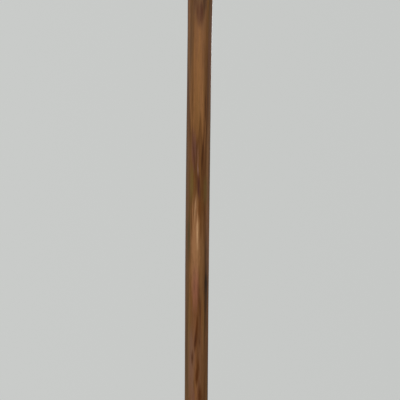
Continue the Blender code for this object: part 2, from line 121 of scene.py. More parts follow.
def crook_line():
    """The wood's centre line, and the distance along it to each of its points."""
    points = [Vector((0, 0, 0))]
    for k in range(0, len(CROOK) - 1, 3):
        span = [Vector((x, 0, z)) for x, z in CROOK[k : k + 4]]
        points += interpolate_bezier(*span, CURVE_STEPS + 1)[0 if k == 0 else 1 :]
    distances = [0.0]
    for a, b in zip(points, points[1:]):
        distances.append(distances[-1] + (b - a).length)
    return points, np.array(distances)


LINE, DISTANCES = crook_line()
WOOD_LENGTH = float(DISTANCES[-1])
SCOOP = DISTANCES[max(range(len(LINE)), key=lambda i: LINE[i].z)]
TIP_HEIGHT = LINE[-1].z


def section_at(distance):
    """Half width, half depth and corner cuts, on smooth curves through WOOD's rows."""
    i = max(k for k in range(len(WOOD) - 1) if k == 0 or WOOD[k][0] <= distance)
    rows = WOOD[max(i - 1, 0)], WOOD[i], WOOD[i + 1], WOOD[min(i + 2, len(WOOD) - 1)]
    step = rows[2][0] - rows[1][0]
    t = (distance - rows[1][0]) / step
    out = []
    for a, b, c, d in zip(*[row[1:] for row in rows]):
        rise = (c - a) / (rows[2][0] - rows[0][0]) * step
        leave = (d - b) / (rows[3][0] - rows[1][0]) * step
        out.append(
            b * (2 * t**3 - 3 * t**2 + 1) + rise * (t**3 - 2 * t**2 + t)
            + c * (3 * t**2 - 2 * t**3) + leave * (t**3 - t**2)
        )
    return out


def wood_at(distance):
    """The wood's centre, its direction, and the direction across it that faces into the head."""
    i = min(int(np.searchsorted(DISTANCES, distance, side="right")) - 1, len(LINE) - 2)
    i = max(i, 0)
    t = (distance - DISTANCES[i]) / (DISTANCES[i + 1] - DISTANCES[i])
    start = (LINE[i + 1] - LINE[max(i - 1, 0)]).normalized()
    end = (LINE[min(i + 2, len(LINE) - 1)] - LINE[i]).normalized()
    along = start.lerp(end, t).normalized() if i else Vector((0, 0, 1))
    return LINE[i].lerp(LINE[i + 1], t), along, Vector((along.z, 0, -along.x))


def off_wood(distance, across, depth):
    """A point beside the wood's centre: so far across it, into the head, and so far back."""
    centre, _, inward = wood_at(distance)
    return centre + inward * across + Vector((0, depth, 0))


def in_wood(distance, across, depth):
    """The placement of a piece there, with its X along the wood, its Y back and its Z into the head."""
    _, along, inward = wood_at(distance)
    turn = Matrix((along, Vector((0, 1, 0)), inward)).transposed().to_4x4()
    return Matrix.Translation(off_wood(distance, across, depth)) @ turn


def inner_face(distance, clearance):
    """How far from its centre the wood's inner face is, and a clearance beyond it."""
    return section_at(distance)[0] + clearance


def last_before(low, high, is_before):
    """The last distance along the wood, between two, where a test holds."""
    for _ in range(HALVINGS):
        middle = (low + high) / 2
        low, high = (middle, high) if is_before(middle) else (low, middle)
    return low


def wall_distance(height, right=False):
    """Distance along the wood to that height, on the left wall or on the right one."""
    ends = (SCOOP, WOOD_LENGTH) if right else (HANDLE_TOP, SCOOP)
    return last_before(*ends, lambda d: (wood_at(d)[0].z < height) != right)


def scoop_distance(x):
    """Distance along the wood to where its inner face crosses x at the top of the head."""
    ends = wall_distance(1.0), wall_distance(1.0, right=True)
    return last_before(*ends, lambda d: off_wood(d, inner_face(d, 0), 0).x < x)


def stitch_point(distance):
    """The middle of a wall stitch, which the netting hangs from."""
    return off_wood(distance, inner_face(distance, STITCH_OUT), NET_Y)


def gut_point(strand, height):
    """A point of a gut strand, which swells out between the throat and the hook."""
    throat = sum(THROAT_BAND) / 2
    foot = off_wood(throat, inner_face(throat, GAP + GUT_R), GUT_TIE_DEPTHS[strand])
    tip = WOOD_LENGTH - sum(HOOK_BAND) / 2
    head = off_wood(tip, inner_face(tip, GAP + GUT_R), GUT_TIE_DEPTHS[strand])
    t = (height - foot.z) / (head.z - foot.z)
    point = foot.lerp(head, t)
    swell = sin(pi * t)
    point.x += GUT_SWELL * swell
    point.y += (GUT_DEPTHS[strand] - GUT_TIE_DEPTHS[strand]) * (1 - (1 - swell) ** 2)
    return point


def edges(height):
    """Where the netting's left and right edges are, across, at a height."""
    low = min(height, STRAIGHT_ABOVE)
    left = stitch_point(wall_distance(low)).x
    hook = stitch_point(wall_distance(max(low, TIP_HEIGHT + HOOK_BAND[1]), right=True)).x
    gut = gut_point(2, min(low, TIP_HEIGHT)).x
    blend = min(max((low - TIP_HEIGHT) / HOOK_BAND[1], 0), 1)
    return left, gut + (hook - gut) * blend


def net(fraction, height):
    """A point of the netting: a fraction of the way from the left wall, at a height."""
    left, right = edges(height)
    rise = min(max((height - POCKET_FOOT) / (POCKET_TOP - POCKET_FOOT), 0), 1)
    sag = POCKET_DEPTH * sin(pi * rise**0.8) * max(sin(pi * fraction), 0) ** 0.7
    return Vector((left + (right - left) * fraction, NET_Y + sag, height))


def net_across(fraction, height, step):
    return net(fraction + step, height) - net(fraction - step, height)


def net_up(fraction, height, step=0.002):
    return net(fraction, height + step) - net(fraction, height - step)


def net_normal(fraction, height):
    """The direction that the netting's back faces."""
    normal = net_up(fraction, height).cross(net_across(fraction, height, 0.01))
    return normal.normalized() * (1 if normal.y > 0 else -1)


def share(index):
    """The fraction of the way across the netting that a runner is at."""
    return (index + 1) / (RUNNERS + 1)


def wall_turns():
    """Distances along the wood of the stitches in the wooden wall, and of those in the hook."""
    left = [wall_distance(z) for z in LEFT_TURNS]
    hook = [wall_distance(z, right=True) for z in RIGHT_TURNS if z > TIP_HEIGHT + HOOK_BAND[1]]
    return left, hook


# ---- mesh helpers

CREASE = radians(50)  # edges that bend more than this are shaded sharp
CORD_STEP, CORD_SIDES, CORD_FUZZ = 0.0010, 12, 0.04


def skin(name, rings, closed=False, **attributes):
    """A mesh over rings of points, capped or closed on itself, with float attributes given ring by ring."""
    rings = np.asarray(rings, float)
    rows, sides = rings.shape[:2]
    i = np.arange(rows if closed else rows - 1)[:, None]
    j = np.arange(sides)[None, :]
    up, round_ = (i + 1) % rows, (j + 1) % sides
    quads = np.stack([i * sides + j, i * sides + round_, up * sides + round_, up * sides + j], axis=-1)
    faces = quads.reshape(-1, 4).tolist()
    if not closed:
        faces += [list(range(sides))[::-1], list(range((rows - 1) * sides, rows * sides))]
    mesh = bpy.data.meshes.new(name)
    mesh.from_pydata(rings.reshape(-1, 3).tolist(), [], faces)
    for key, values in attributes.items():
        layer = mesh.attributes.new(key, "FLOAT", "POINT")
        layer.data.foreach_set("value", np.asarray(values, np.float32).ravel())
    bm = bmesh.new()
    bm.from_mesh(mesh)
    bmesh.ops.recalc_face_normals(bm, faces=bm.faces)
    bm.to_mesh(mesh)
    bm.free()
    shade_round(mesh)
    return add_object(name, mesh)


def mesh_of(bm, name):
    mesh = bpy.data.meshes.new(name)
    bm.to_mesh(mesh)
    bm.free()
    return mesh


def shade_round(mesh):
    mesh.shade_smooth()
    mesh.set_sharp_from_angle(angle=CREASE)


def part(obj, material, slot, *nodes):
    """Give a piece its material, and let it stand for its CAD nodes."""
    obj.data.materials.clear()
    obj.data.materials.append(material)
    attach(obj, "root")
    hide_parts(*nodes)


def rounded(points, times=3):
    """Cut a polyline's corners again and again, so that it bends smoothly."""
    for _ in range(times):
        cut = [points[0]]
        for a, b in zip(points, points[1:]):
            cut += [a.lerp(b, 0.25), a.lerp(b, 0.75)]
        points = [*cut, points[-1]]
    return points


def even(points, step):
    """The same polyline with a point every step, and the distance to each."""
    line = np.array([tuple(p) for p in points])
    lengths = np.concatenate([[0], np.cumsum(np.linalg.norm(np.diff(line, axis=0), axis=1))])
    count = max(int(lengths[-1] / step), 2)
    at = np.linspace(0, lengths[-1], count + 1)
    return np.stack([np.interp(at, lengths, line[:, k]) for k in range(3)], axis=-1), at


def frames(line):
    """Two directions across the line at each of its points, turning as little as they can."""
    along = np.gradient(line, axis=0)
    along /= np.linalg.norm(along, axis=1)[:, None]
    first = np.cross(along[0], (0.31, 0.92, 0.2))
    first /= np.linalg.norm(first)
    side = [first]
    for a in along[1:]:
        across = side[-1] - a * side[-1].dot(a)
        side.append(across / np.linalg.norm(across))
    side = np.array(side)
    return side, np.cross(along, side)


def around(side, up, angles):
    """Directions out from a line: at each of its points, one for each angle."""
    return np.cos(angles)[..., None] * side[:, None, :] + np.sin(angles)[..., None] * up[:, None, :]


def for_rings(values, sides):
    """One value for each ring, repeated for each of its points."""
    return np.repeat(values[:, None], sides, axis=1)


def twisted(name, points, radius, plies=3, pitch=0.007):
    """A laid cord: a lobed section that turns as it goes along the points."""
    line, at = even(rounded(points), CORD_STEP)
    angle = np.arange(CORD_SIDES) * tau / CORD_SIDES
    lobe = np.tile(np.abs(np.cos(plies / 2 * angle)), (len(at), 1))
    fuzz = CORD_FUZZ * np.sin(at[:, None] * 900 + angle * 2)
    size = radius * (0.80 + 0.24 * lobe + fuzz)
    rings = line[:, None, :] + around(*frames(line), angle + at[:, None] / pitch * tau) * size[..., None]
    # The plies' lobes also go to the material as the mask of its painted shade between plies.
    return skin(name, rings, ply=lobe, along=for_rings(at, CORD_SIDES))


# ---- materials

def linear(red, green, blue):
    """A colour given as it looks on a screen, 0 to 255, by the sRGB formula."""
    levels = [c / 255 for c in (red, green, blue)]
    return [((c + 0.055) / 1.055) ** 2.4 if c > 0.04045 else c / 12.92 for c in levels] + [1.0]


class Nodes:
    """Short ways to add nodes to a tree."""

    def __init__(self, tree):
        self.tree = tree

    def put(self, socket, value):
        if isinstance(value, bpy.types.NodeSocket):
            self.tree.links.new(value, socket)
        else:
            socket.default_value = value

    def add(self, kind, inputs=(), output=0, **settings):
        node = self.tree.nodes.new(kind)
        for key, value in settings.items():
            setattr(node, key, value)
        for key, value in dict(inputs).items():
            self.put(node.inputs[key], value)
        return node.outputs[output]

    def attribute(self, name, output="Fac"):
        return self.add("ShaderNodeAttribute", output=output, attribute_name=name)

    def math(self, operation, a, b=0.0, c=0.0):
        return self.add("ShaderNodeMath", {0: a, 1: b, 2: c}, operation=operation)

    def noise(self, vector, scale, detail=2.0, roughness=0.5):
        """Noise over places that are scaled along each axis."""
        place = self.add("ShaderNodeVectorMath", {0: vector, 1: scale}, operation="MULTIPLY")
        sockets = {"Vector": place, "Scale": 1.0, "Detail": detail, "Roughness": roughness}
        return self.add("ShaderNodeTexNoise", sockets)

    def ramp(self, factor, stops):
        """A colour ramp whose stops are (position, colour or number)."""
        node = self.tree.nodes.new("ShaderNodeValToRGB")
        line = node.color_ramp.elements
        while len(line) < len(stops):
            line.new(0.5)
        for element, (position, value) in zip(line, stops):
            element.position = position
            element.color = value if isinstance(value, list) else (value, value, value, 1)
        self.put(node.inputs[0], factor)
        return node.outputs["Color"]

    def mix(self, factor, a, b, blend="MIX"):
        """A mix of two colours, whose sockets have no names of their own."""
        return self.add("ShaderNodeMix", {0: factor, 6: a, 7: b}, 2, data_type="RGBA", blend_type=blend)

    def split(self, vector):
        node = self.tree.nodes.new("ShaderNodeSeparateXYZ")
        self.put(node.inputs[0], vector)
        return node.outputs

    def bump(self, height, strength, distance, under=None):
        sockets = {"Height": height, "Strength": strength, "Distance": distance}
        if under:
            sockets["Normal"] = under
        return self.add("ShaderNodeBump", sockets)


class Shade(Nodes):
    """A material on a Principled shader, whose sockets are given by name with _ for a space."""

    def __init__(self, name, **sockets):
        self.material = bpy.data.materials.new(name)
        self.material.use_nodes = True
        super().__init__(self.material.node_tree)
        self.shader = self.tree.nodes["Principled BSDF"]
        self.finish(**sockets)

    def finish(self, **sockets):
        for key, value in sockets.items():
            self.put(self.shader.inputs[key.replace("_", " ")], value)
        return self.material


# The figure of the handle's front face. Each mark is a long lens: the height and place across of its
# middle, its slant across per length, half length, half width, colour and strength.
FIGURE = (
    (0.712, 0, 0, 0.026, 0.011, (92, 60, 32), 0.8),
    (0.66, 0.005, 0, 0.05, 0.0034, (98, 62, 30), 0.75),
    (0.672, -0.0086, 0, 0.052, 0.003, (90, 62, 36), 0.7),
    (0.45, 0.0042, 0, 0.06, 0.0042, (128, 90, 54), 0.85),
    (0.352, 0.004, 0, 0.052, 0.005, (124, 86, 54), 0.75),
    (0.35, -0.0054, 0, 0.06, 0.0044, (127, 92, 73), 0.75),
    (0.64, -0.0014, 0, 0.062, 0.0034, (138, 93, 50), 0.8),
    (0.622, -0.0068, 0, 0.046, 0.0015, (92, 57, 22), 0.85),
    (0.47, -0.003, 0, 0.06, 0.0062, (166, 119, 80), 0.8),
    (0.425, -0.002, 0, 0.03, 0.0046, (148, 94, 74), 0.65),
    (0.64, 0.0075, 0, 0.055, 0.0024, (88, 56, 25), 0.6),
    (0.61, 0.0062, 0, 0.02, 0.0011, (68, 36, 12), 0.8),
    (0.716, -0.0056, 0, 0.012, 0.0024, (86, 50, 18), 0.85),
    (0.718, 0.0042, 0, 0.018, 0.003, (70, 40, 13), 0.95),
    (0.706, -0.0026, 0, 0.012, 0.002, (82, 42, 8), 0.95),
    (0.706, 0.0014, 0, 0.014, 0.0026, (74, 33, 2), 1),
    (0.7, -0.0008, 0, 0.014, 0.0034, (92, 54, 28), 0.7),
    (0.568, -0.005, -0.02, 0.026, 0.0032, (114, 74, 66), 0.6),
    (0.56, -0.0048, -0.075, 0.03, 0.0013, (84, 46, 26), 0.85),
    (0.566, 0.0041, 0.055, 0.034, 0.0014, (70, 37, 10), 0.9),
    (0.556, -0.0008, -0.02, 0.02, 0.0012, (134, 92, 70), 0.6),
    (0.545, -0.0007, -0.04, 0.008, 0.001, (132, 98, 84), 0.85),
    (0.528, 0.0003, -0.06, 0.02, 0.0023, (78, 42, 32), 0.95),
    (0.53, -0.007, 0, 0.022, 0.0026, (108, 88, 42), 0.65),
    (0.524, 0.0072, 0, 0.022, 0.0026, (100, 80, 36), 0.65),
    (0.505, 0.0014, 0.01, 0.014, 0.0022, (98, 56, 18), 0.85),
    (0.508, -0.0028, 0.05, 0.017, 0.0012, (166, 126, 90), 0.9),
    (0.479, -0.0006, -0.01, 0.023, 0.0013, (196, 154, 114), 0.95),
    (0.462, -0.0004, 0, 0.026, 0.0012, (162, 118, 80), 0.6),
    (0.47, 0.0078, 0, 0.034, 0.0016, (84, 58, 32), 0.6),
    (0.425, 0.0084, 0, 0.062, 0.0024, (62, 40, 16), 0.9),
    (0.431, 0.0084, 0, 0.014, 0.0018, (40, 22, 2), 0.9),
    (0.478, -0.0092, 0, 0.036, 0.0022, (74, 62, 28), 0.75),
    (0.384, -0.0004, 0.03, 0.018, 0.0014, (84, 42, 6), 1),
    (0.372, -0.0014, 0.06, 0.013, 0.0019, (78, 40, 14), 0.9),
    (0.371, 0.0026, -0.06, 0.008, 0.001, (84, 50, 26), 0.6),
    (0.355, -0.0044, 0, 0.011, 0.0014, (76, 40, 18), 0.9),
    (0.345, 0.0012, 0, 0.016, 0.0021, (86, 46, 10), 0.9),
    (0.336, 0.0004, 0, 0.011, 0.0023, (84, 42, 6), 0.9),
    (0.316, 0.0034, -0.03, 0.015, 0.0026, (86, 46, 10), 0.9),
    (0.312, -0.0026, 0, 0.016, 0.0022, (126, 84, 64), 0.7),
)


HEART, RING_WIDTH = (0.0035, 0.052), 0.0030  # the tree's middle, across and behind; a year's growth


def length_of(s, a, b):
    return s.math("SQRT", s.math("MULTIPLY_ADD", a, a, s.math("MULTIPLY", b, b)))


def growth_rings(s, grain, across, depth):
    """Light and dark bands round the tree's middle, which wander as they go up."""
    radius = length_of(s, s.math("SUBTRACT", across, HEART[0]), s.math("SUBTRACT", depth, HEART[1]))
    bend = s.noise(grain, (40, 40, 2.6))
    ripple = s.noise(grain, (380, 380, 14))
    radius = s.math("MULTIPLY_ADD", bend, 0.0130, radius)
    radius = s.math("MULTIPLY_ADD", ripple, 0.0010, radius)
    return s.ramp(s.math("FRACT", s.math("DIVIDE", radius, RING_WIDTH)),
                  [(0, 0.75), (0.45, 0.62), (0.76, 0.34), (0.90, 0.12), (1, 0.75)])


def patches(s, colour, grain, scale, stops, shade):
    """Long patches of a second shade over a colour."""
    return s.mix(s.ramp(s.noise(grain, scale, 1), stops), colour, shade)


def figured(s, colour, grain, across, depth, along):
    """The figure's marks over a colour, ragged at their ends, on the front only."""
    front = s.ramp(s.math("MULTIPLY", depth, -100), [(0.75, 0.0), (1.15, 1.0)])
    ragged = s.math("MULTIPLY_ADD", s.noise(grain, (900, 900, 50)), 1.1, -0.55)
    for height, place, slant, long, wide, shade, strength in FIGURE:
        v = s.math("SUBTRACT", along, height)
        u = s.math("MULTIPLY_ADD", v, -slant, s.math("SUBTRACT", across, place))
        reach = length_of(s, s.math("DIVIDE", u, wide), s.math("DIVIDE", v, long))
        spot = s.ramp(s.math("ADD", reach, ragged), [(0.25, strength), (1.0, 0.0)])
        colour = s.mix(s.math("MULTIPLY", spot, front), colour, linear(*shade))
    return colour


def hickory():
    """Stained, varnished hickory: growth rings, long pores, streaks and the figure, with painted shade
    towards its sides.
    """
    s = Shade("varnished_hickory", Coat_Weight=0.12, Coat_Roughness=0.2, Specular_IOR_Level=0.3)
    grain = s.attribute("grain", "Vector")
    across, depth, along = s.split(grain)
    ring = growth_rings(s, grain, across, depth)
    broad = s.noise(grain, (260, 260, 5.0))
    streak = s.noise(grain, (900, 900, 12))
    fine = s.noise(grain, (2200, 2200, 40), 2, 0.6)
    tone = s.math("MULTIPLY_ADD", ring, 0.30, s.math("MULTIPLY", broad, 0.50))
    tone = s.math("MULTIPLY_ADD", streak, 0.26, tone)
    tone = s.math("MULTIPLY_ADD", s.math("SUBTRACT", fine, 0.5), 0.16, tone)
    colour = s.ramp(tone, [
        (0.28, linear(66, 34, 10)), (0.42, linear(90, 55, 22)), (0.52, linear(110, 71, 34)),
        (0.62, linear(126, 84, 44)), (0.78, linear(152, 106, 62)),
    ])
    reddish, olive = linear(122, 74, 56), linear(98, 78, 36)
    colour = patches(s, colour, grain, (110, 110, 5.0), [(0.48, 0.0), (0.72, 0.55)], reddish)
    colour = patches(s, colour, grain, (140, 140, 7.0), [(0.52, 0.0), (0.72, 0.50)], olive)
    colour = figured(s, colour, grain, across, depth, along)
    pore = s.ramp(s.noise(grain, (3600, 3600, 130), 2, 0.6), [(0.60, 0.0), (0.70, 1.0)])
    colour = s.mix(s.math("MULTIPLY", pore, 0.4), colour, linear(48, 27, 11))
    # Painted shade: the wood is darker towards both its sides, most on the side away from the head's inside
    # (-X on the handle).
    painted_side_shade = s.ramp(s.math("MULTIPLY_ADD", across, 40, 0.5),
                   [(0.02, 0.76), (0.22, 0.95), (0.45, 1.0), (0.7, 0.92), (0.95, 0.94)])
    colour = s.mix(1.0, colour, painted_side_shade, "MULTIPLY")
    wear = s.ramp(s.attribute("edge"), [(0.35, 0.0), (1.0, 0.16)])
    colour = s.mix(wear, colour, linear(134, 100, 70))
    rough = s.ramp(fine, [(0.3, 0.44), (0.7, 0.32)])
    normal = s.bump(s.math("SUBTRACT", fine, s.math("MULTIPLY", pore, 0.6)), 0.35, 0.00012)
    return s.finish(Base_Color=colour, Roughness=rough, Normal=normal)


def leather(name, dark, mid, light, edge_light, roughness):
    """Oiled leather: pores, creases, patchy tone, and edges rubbed lighter."""
    s = Shade(name, Specular_IOR_Level=0.4)
    place = s.add("ShaderNodeTexCoord", output="Object")
    patch = s.noise(place, (60, 60, 60), 3)
    speck = s.noise(place, (1400, 1400, 1400))
    colour = s.ramp(s.math("ADD", s.math("MULTIPLY", patch, 0.8), s.math("MULTIPLY", speck, 0.2)),
                    [(0.30, dark), (0.5, mid), (0.72, light)])
    colour = s.mix(s.ramp(s.attribute("edge"), [(0.4, 0.0), (1.0, 0.7)]), colour, edge_light)
    cells = s.add("ShaderNodeTexVoronoi", {"Vector": place, "Scale": 1100.0}, feature="DISTANCE_TO_EDGE")
    creases = s.ramp(cells, [(0.0, 0.0), (0.12, 1.0)])
    normal = s.bump(creases, 0.35, 0.00015)
    normal = s.bump(speck, 0.3, 0.0002, normal)
    rough = s.ramp(patch, [(0.3, roughness + 0.1), (0.7, roughness - 0.08)])
    return s.finish(Base_Color=colour, Roughness=rough, Normal=normal)


def fibre(name, groove, body, crown, roughness, **sockets):
    """A laid cord: painted shade in the grooves between its plies and lighter crowns, with fibres and handled
    patches.
    """
    s = Shade(name, **sockets)
    place = s.add("ShaderNodeTexCoord", output="Object")
    ply, along = s.attribute("ply"), s.attribute("along")
    soil = s.noise(place, (70, 70, 70), 3)
    strands = s.noise(place, (2600, 2600, 2600))
    # Painted shade: darker in the grooves between plies, lighter on their crowns, mixed with fibre noise.
    painted_shade_and_fibres = s.math("ADD", s.math("MULTIPLY", ply, 0.7), s.math("MULTIPLY", strands, 0.3))
    colour = s.ramp(painted_shade_and_fibres, [(0.12, groove), (0.42, body), (0.85, crown)])
    colour = s.mix(s.ramp(soil, [(0.45, 0.0), (0.72, 0.5)]), colour, groove)
    faded = s.noise(along, (30, 30, 30), 1)
    colour = s.mix(s.ramp(faded, [(0.5, 0.0), (0.8, 0.25)]), colour, body)
    normal = s.bump(strands, 0.5, 0.0002)
    rough = s.ramp(soil, [(0.3, roughness), (0.7, min(roughness + 0.12, 1.0))])
    return s.finish(Base_Color=colour, Roughness=rough, Normal=normal)


# ---- the wood

BOW, BOWED = 0.0007, (GRIP[1] + 0.015, THROAT_BAND[0] - 0.006)  # how far the handle bows, and where
CORNER_EASE, UNEVEN = 0.0017, 0.006
HANDLE_STEP, HEAD_STEP = 0.004, 0.0026  # between the wood's rings
BUTT_RINGS = ((0, 0.0012), (0.0004, 0.0005), (0.0012, 0.0001))  # distance from the end, how much narrower
TIP_RINGS = ((0.0025, 0.0003), (0.0012, 0.0009), (0.0003, 0.0019), (0, 0.0027))
HOLE_LENGTH, SLOT_ROOM = 0.032, 0.0008  # a cutter's length, and a slot's size beyond its runner's
GRAIN_STOPS, POINTS_AT_ONCE = 1600, 2000


def handle_drift(distance):
    """The slight bow that the bare handle has taken, towards the wooden wall's side."""
    low, high = BOWED
    return -BOW * sin(pi * min(max((distance - low) / (high - low), 0), 1))


def wood_ring(distance, shrink=0.0):
    """The wood's eased octagon, and how near each point is to a corner."""
    width, depth, cut, cut_deep = section_at(distance)
    width, depth = width - shrink, depth - shrink
    width *= 1 + UNEVEN * noise.noise(Vector((distance * 22, 0.3, 4.1)))
    side, face = depth - cut_deep, width - cut
    half = [Vector(c) for c in ((width, side), (face, depth), (-face, depth), (-width, side))]
    flat = half + [-corner for corner in half]
    ease = min(CORNER_EASE, cut * 0.55)
    ring, edge = [], []
    for before, at, after in zip(flat[-1:] + flat[:-1], flat, flat[1:] + flat[:1]):
        enter = at + (before - at).normalized() * ease
        leave = at + (after - at).normalized() * ease
        for t in (0, 0.25, 0.5, 0.75, 1):
            ring.append(enter.lerp(at, t).lerp(at.lerp(leave, t), t))
            edge.append(1 - abs(2 * t - 1) * 0.9)
    drift = handle_drift(distance)
    return [off_wood(distance, a + drift, d) for a, d in ring], edge


def hole_cutters():
    """Round bars through the wall's lacing holes, and slots for the runners."""
    turns = [turn for side in wall_turns() for turn in side]
    bars = [(t + step, NET_Y, LACE_R + 0.0006) for t in turns for step in (-STITCH_HALF, STITCH_HALF)]
    shooters = [wall_distance(z, right=k == 1) for pair in SHOOTERS for k, z in enumerate(pair)]
    bars += [(d, SHOOTER_Y, SHOOTER_R + 0.0005) for d in shooters]
    bm = bmesh.new()
    for distance, depth, radius in bars:
        place = in_wood(distance, 0, depth)
        bmesh.ops.create_cone(
            bm, cap_ends=True, segments=14, radius1=radius, radius2=radius, depth=HOLE_LENGTH, matrix=place
        )
    for i in range(RUNNERS):
        place = in_wood(scoop_distance(net(share(i), STRAIGHT_ABOVE).x), 0, NET_Y)
        size = Matrix.Diagonal((RUNNER_WIDE + SLOT_ROOM, RUNNER_THICK + SLOT_ROOM, HOLE_LENGTH, 1))
        bmesh.ops.create_cube(bm, size=1, matrix=place @ size)
    return add_object("cutters", mesh_of(bm, "cutters"))


def grain_places(mesh):
    """Store for each point of the wood where it is across, through and along the grain."""
    stops = np.linspace(0, WOOD_LENGTH, GRAIN_STOPS)
    spots = [wood_at(d) for d in stops]
    centres = np.array([tuple(centre) for centre, _, _ in spots])
    inward = np.array([tuple(way) for _, _, way in spots])
    points = np.empty(len(mesh.vertices) * 3)
    mesh.vertices.foreach_get("co", points)
    points = points.reshape(-1, 3)
    out = np.empty_like(points)
    for start in range(0, len(points), POINTS_AT_ONCE):
        now = slice(start, start + POINTS_AT_ONCE)
        some = points[now]
        away = ((some[:, None, (0, 2)] - centres[None, :, (0, 2)]) ** 2).sum(axis=-1)
        near = away.argmin(axis=1)
        out[now, 0] = ((some - centres[near]) * inward[near]).sum(axis=1)
        out[now, 1] = some[:, 1]
        out[now, 2] = stops[near]
    handle = points[:, 2] < HANDLE_TOP
    out[handle, 2] = points[handle, 2]
    layer = mesh.attributes.new("grain", "FLOAT_VECTOR", "POINT")
    layer.data.foreach_set("vector", out.astype(np.float32).ravel())


def cut_holes(obj):
    cutters = hole_cutters()
    holes = obj.modifiers.new("holes", "BOOLEAN")
    holes.operation, holes.object, holes.solver = "DIFFERENCE", cutters, "EXACT"
    bpy.context.view_layer.update()
    cut = bpy.data.meshes.new_from_object(obj.evaluated_get(bpy.context.evaluated_depsgraph_get()))
    obj.modifiers.clear()
    obj.data = cut
    bpy.data.objects.remove(cutters)
    shade_round(cut)


def wood():
    """The bent wood: rings along its line, with an eased butt and a rounded tip."""
    stops = [*np.arange(0.003, HANDLE_TOP, HANDLE_STEP)]
    stops += [*np.arange(HANDLE_TOP, WOOD_LENGTH - 0.004, HEAD_STEP)]
    shaped = [wood_ring(distance, shrink) for distance, shrink in BUTT_RINGS]
    shaped += [wood_ring(distance) for distance in stops]
    shaped += [wood_ring(WOOD_LENGTH - back, shrink) for back, shrink in TIP_RINGS]
    obj = skin("wood", [[tuple(p) for p in ring] for ring, _ in shaped], edge=[edge for _, edge in shaped])
    cut_holes(obj)
    grain_places(obj.data)
    part(obj, hickory(), "varnished_hickory", "hickory_frame")


# ---- the netting

STRAP_FRONT = (  # the front of a strip's section, across and out, for a half width and half thickness of 1
    (1, 0.35), (0.93, 0.85), (0.75, 1), (0, 1.04), (-0.75, 1), (-0.93, 0.85), (-1, 0.35),
)
STRAP_OUTLINE = (*STRAP_FRONT, *((-across, -out) for across, out in STRAP_FRONT))
RUNNER_TIES = (0.7485, 0.758, 0.7685)  # distances along the wood where a runner's tail lies on the throat
RUNNER_WIDENS = (0.80, 0.85)  # the heights between which a runner widens
KNOT_SIZE, KNOT_OUT = (0.0046, 0.0042, 0.0026), 0.0022  # a knot's half sizes, and its middle from the wood
GUT_TIES = (0.7475, 0.7595, THROAT_BAND[1] + 0.0025)
GUT_ENDS = [WOOD_LENGTH - back for back in (HOOK_BAND[0] - 0.003, HOOK_BAND[1], HOOK_BAND[1] + 0.005)]
STITCH_TAIL, SHOOTER_TAIL = 0.006, 0.007
LACE_SIDES = (1, -1, -1, 1)  # how a lacing row starts at each runner: 1 behind it, -1 in front of it
BRIDGE_PITCH, BRIDGE_TAPER = 0.0019, 0.004
HITCH = (  # a hitch round a runner, from left to right: places across, out and up, in millimetres
    (-3.0, 2.4, -1.5), (3.0, 2.4, -1.5), (4.2, 1.2, -1.2), (4.2, -1.2, -0.6), (3.0, -2.4, 0),
    (-3.0, -2.4, 0), (-4.2, -1.2, 0.6), (-4.2, 1.2, 1.2), (-3.0, 2.4, 1.5), (3.0, 2.4, 1.5),
)


def strap(name, points, ways, widths):
    """A leather strip with eased edges, its flat sides facing the given ways."""
    rings, edge = [], []
    for i, (point, way, width) in enumerate(zip(points, ways, widths)):
        along = (points[min(i + 1, len(points) - 1)] - points[max(i - 1, 0)]).normalized()
        out = (way - along * way.dot(along)).normalized()
        side = along.cross(out)
        rough = noise.noise(point * 130)
        wide, thick = width / 2 * (1 + 0.07 * rough), RUNNER_THICK / 2 * (1 - 0.08 * rough)
        rings.append([tuple(point + side * a * wide + out * b * thick) for a, b in STRAP_OUTLINE])
        edge.append([1 if abs(a) > 0.9 else 0 for a, _ in STRAP_OUTLINE])
    return skin(name, rings, edge=edge)


def runner_route(index):
    """From the tail bound to the throat's back, up the pocket, and out through the scoop's slot.

    Returns the points, the ways that the strip faces there, and the slot's distance along the wood.
    """
    fraction = share(index)
    back = Vector((0, 1, 0))
    points, ways = [], []
    for d in RUNNER_TIES:
        lift = section_at(d)[1] + GAP + RUNNER_THICK / 2
        points.append(off_wood(d, (index - (RUNNERS - 1) / 2) * TAIL_PITCH, lift))
        ways.append(back)
    low, high = points[-1], net(fraction, RUNNER_FOOT)
    for t in (0.25, 0.5, 0.75):
        points.append(low.lerp(high, t) + Vector((0, -0.003 * sin(pi * t), 0)))
        ways.append(back.lerp(net_normal(fraction, RUNNER_FOOT), t))
    slot = scoop_distance(net(fraction, STRAIGHT_ABOVE).x)
    mouth = off_wood(slot, inner_face(slot, 0.001), NET_Y)
    steps = 12
    for k in range(steps):
        height = RUNNER_FOOT + (mouth.z - 0.010 - RUNNER_FOOT) * k / (steps - 1)
        points.append(net(fraction, height))
        ways.append(net_normal(fraction, height))
    points += [mouth, off_wood(slot, -inner_face(slot, 0.0006), NET_Y)]
    ways += [back, back]
    return points, ways, slot


def smooth_together(points, ways, steps):
    """A Catmull-Rom curve through points, with the ways they face blended alongside."""
    def curve(row):
        ends = [row[0] * 2 - row[1], *row, row[-1] * 2 - row[-2]]
        out = []
        for a, b, c, d in zip(ends, ends[1:], ends[2:], ends[3:]):
            for k in range(steps):
                t = k / steps
                out.append((b * 2 + (c - a) * t + (a * 2 - b * 5 + c * 4 - d) * t**2
                            + (b * 3 - a - c * 3 + d) * t**3) / 2)
        return [*out, row[-1]]

    return curve(points), curve(ways)


def leather_runners(material):
    for i in range(RUNNERS):
        points, ways, slot = runner_route(i)
        points, ways = smooth_together(points, ways, 8)
        widths = [float(np.interp(p.z, RUNNER_WIDENS, (RUNNER_NARROW, RUNNER_WIDE))) for p in points]
        strip = strap(f"runner_{i + 1}", points, ways, widths)
        part(strip, material, "runner_leather", f"leather_runner_{i + 1}")
        knot(f"knot_{i + 1}", slot, material, f"runner_knot_{i + 1}")


